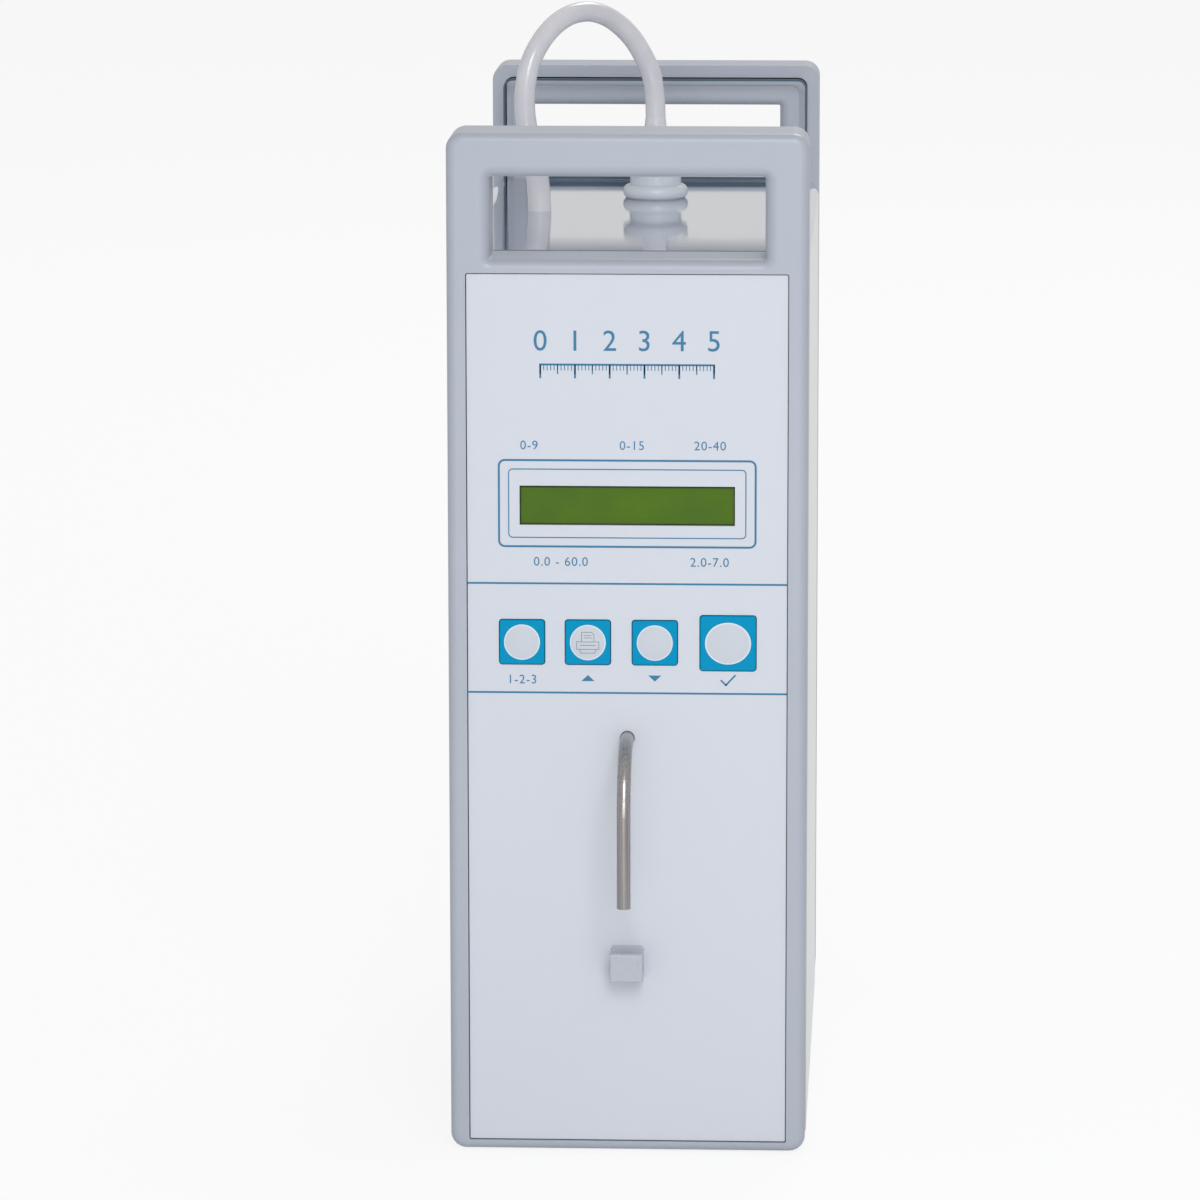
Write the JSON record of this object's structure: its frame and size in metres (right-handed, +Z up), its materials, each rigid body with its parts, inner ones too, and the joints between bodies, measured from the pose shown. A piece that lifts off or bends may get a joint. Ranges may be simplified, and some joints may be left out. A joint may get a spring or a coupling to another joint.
{
  "type": "milk analyzer",
  "caption": "Upright bench milk analyzer: two moulded end frames with grip windows, bent steel cover, display, keys, sampling tube, cup hook and a hose loop on top.",
  "frame": {"origin": "on the bench, under the middle of the body, where its centre planes meet", "axes": "+Z up, front panel faces -Y, +X to the right seen from the front"},
  "size_m": [0.104, 0.2636, 0.3265],
  "materials": {
    "frame_plastic": "fine satin moulding",
    "polished_steel": "mirror polished sheet",
    "zinc_steel": "zinc plated sheet",
    "pad_rubber": "matt",
    "panel_white": "satin printed film",
    "window_green": "clear window over a green display",
    "plated_can": "bright tin plate",
    "display_glass": "green backlit cell",
    "circuit_board": "green solder mask",
    "bright_metal": "plated steel",
    "black_plastic": "fine black moulding",
    "key_blue": "blue square with a pale dome",
    "tube_steel": "drawn stainless tube",
    "white_plastic": "white acetal",
    "clear_hose": "milky silicone",
    "clear_lid": "clear sheet",
    "fuse_glass": "glass with metal ends",
    "rear_panel": "satin paint",
    "motor_metal": "machined and laminated metal",
    "winding_tape": "yellow tape"
  },
  "bodies": {
    "casing": {"front_bezel": "frame_plastic", "rear_bezel": "frame_plastic", "front_liner": "frame_plastic", "rear_liner": "frame_plastic", "casing_cover": "polished_steel", "base_tray": "zinc_steel", "foot_pads": "pad_rubber", "front_plate": "panel_white", "keypad_overlay": "panel_white", "display_lens": "window_green", "lcd_can": "plated_can", "lcd_glass": "display_glass", "lcd_board": "circuit_board", "board_posts": "bright_metal", "key_board": "circuit_board", "key_switches": "black_plastic", "inner_screws": "bright_metal", "sample_tube": "tube_steel", "tube_bushing": "white_plastic", "cup_hook": "frame_plastic", "hook_nut": "bright_metal", "hose_fitting": "white_plastic", "hose_cuff": "clear_hose", "fitting_nut": "white_plastic", "return_port": "white_plastic", "outlet_hose": "clear_hose", "rear_plate": "rear_panel", "rear_screws": "bright_metal", "mains_inlet": "black_plastic", "inlet_pins": "bright_metal", "power_switch": "black_plastic", "fuse_holder": "black_plastic", "fuse_link": "fuse_glass", "serial_port": "plated_can", "serial_posts": "bright_metal", "dc_socket": "black_plastic", "inner_frame": "zinc_steel", "pump_housing": "white_plastic", "pump_lid": "clear_lid", "pump_tube": "clear_hose", "pump_motor": "motor_metal", "sensor_cell": "motor_metal", "transducers": "motor_metal", "inner_tubes": "clear_hose", "main_board": "circuit_board", "board_parts": "black_plastic", "transformer_core": "motor_metal", "transformer_winding": "winding_tape"},
    "mode_button": {"mode_key": "key_blue"},
    "up_button": {"up_key": "key_blue"},
    "down_button": {"down_key": "key_blue"},
    "ok_button": {"ok_key": "key_blue"},
    "rocker": {"power_rocker": "black_plastic"},
    "cap": {"fuse_cap": "black_plastic"},
    "rotor": {"pump_rotor": "black_plastic", "motor_shaft": "bright_metal"},
    "roller_1": {"pump_roller_1": "white_plastic"},
    "roller_2": {"pump_roller_2": "white_plastic"},
    "roller_3": {"pump_roller_3": "white_plastic"}
  },
  "joints": [
    {"name": "mode_press", "type": "slide", "parent": "casing", "child": "mode_button", "axis": [0, 1, 0], "range_m": [0, 0.0005], "stiffness_N_per_m": 1500, "springref_m": -0.0005},
    {"name": "up_press", "type": "slide", "parent": "casing", "child": "up_button", "axis": [0, 1, 0], "range_m": [0, 0.0005], "stiffness_N_per_m": 1500, "springref_m": -0.0005},
    {"name": "down_press", "type": "slide", "parent": "casing", "child": "down_button", "axis": [0, 1, 0], "range_m": [0, 0.0005], "stiffness_N_per_m": 1500, "springref_m": -0.0005},
    {"name": "ok_press", "type": "slide", "parent": "casing", "child": "ok_button", "axis": [0, 1, 0], "range_m": [0, 0.0005], "stiffness_N_per_m": 1500, "springref_m": -0.0005},
    {"name": "rocker_tilt", "type": "hinge", "parent": "casing", "child": "rocker", "pos_m": [0.027, 0.1154, 0.042], "axis": [1, 0, 0], "range_deg": [0, 16]},
    {"name": "fuse_cap_turn", "type": "hinge", "parent": "casing", "child": "cap", "pos_m": [0.027, 0.1166, 0.074], "axis": [0, 1, 0], "range_deg": [0, 90]},
    {"name": "rotor_spin", "type": "hinge", "parent": "casing", "child": "rotor", "pos_m": [-0.003, 0.018, 0.084], "axis": [1, 0, 0], "continuous": true},
    {"name": "roller_1_spin", "type": "hinge", "parent": "rotor", "child": "roller_1", "pos_m": [-0.003, 0.018, 0.0961], "axis": [1, 0, 0], "continuous": true},
    {"name": "roller_2_spin", "type": "hinge", "parent": "rotor", "child": "roller_2", "pos_m": [-0.003, 0.02848, 0.07795], "axis": [1, 0, 0], "continuous": true},
    {"name": "roller_3_spin", "type": "hinge", "parent": "rotor", "child": "roller_3", "pos_m": [-0.003, 0.00752, 0.07795], "axis": [1, 0, 0], "continuous": true}
  ],
  "couplings": [
    {"joint": "roller_1_spin", "follows": "rotor_spin", "ratio": -3.48},
    {"joint": "roller_2_spin", "follows": "rotor_spin", "ratio": -3.48},
    {"joint": "roller_3_spin", "follows": "rotor_spin", "ratio": -3.48}
  ]
}
